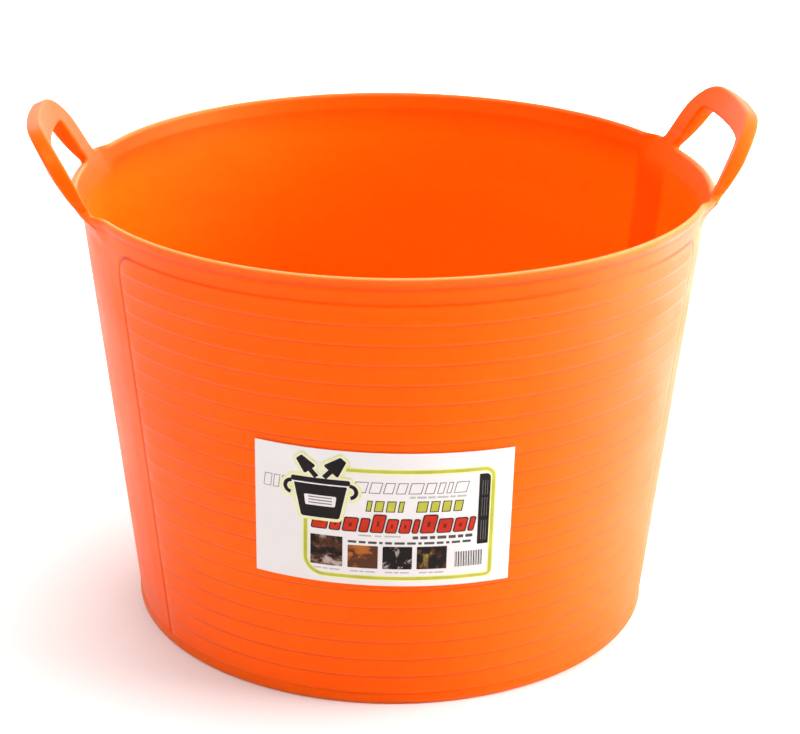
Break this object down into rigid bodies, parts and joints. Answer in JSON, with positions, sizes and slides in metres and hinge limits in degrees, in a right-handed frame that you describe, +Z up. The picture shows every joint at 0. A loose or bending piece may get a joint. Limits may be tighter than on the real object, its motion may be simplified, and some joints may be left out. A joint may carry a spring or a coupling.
{
  "type": "mixing tub",
  "caption": "Round flexible mixing tub with a tapered, horizontally ribbed wall, a rolled rim, loop handles that lean outwards and flex at their roots, and a label on the front.",
  "frame": {"origin": "centre of the base, on the ground plane", "axes": "+Z up through the mouth; +X towards the right handle, with the handles opposite each other along X; -Y towards the labelled front"},
  "size_m": [0.5152, 0.45, 0.374],
  "materials": {
    "tub_plastic": "smooth glossy flexible polyethylene, slightly translucent",
    "label_stock": "coated white label stock with plain printed shapes"
  },
  "bodies": {
    "tub": {"tub_floor": "tub_plastic", "foot_ring": "tub_plastic", "side_wall": "tub_plastic", "front_rib_panel": "tub_plastic", "back_rib_panel": "tub_plastic", "front_rim": "tub_plastic", "back_rim": "tub_plastic", "left_handle_root": "tub_plastic", "right_handle_root": "tub_plastic", "label": "label_stock"},
    "left_handle": {"left_handle": "tub_plastic"},
    "right_handle": {"right_handle": "tub_plastic"}
  },
  "joints": [
    {"name": "left_handle_flex", "type": "hinge", "parent": "tub", "child": "left_handle", "pos_m": [-0.22716, 0, 0.33241], "axis": [0, 1, 0], "range_deg": [-20, 50], "stiffness_Nm_per_rad": 2},
    {"name": "right_handle_flex", "type": "hinge", "parent": "tub", "child": "right_handle", "pos_m": [0.22716, 0, 0.33241], "axis": [0, -1, 0], "range_deg": [-20, 50], "stiffness_Nm_per_rad": 2}
  ]
}
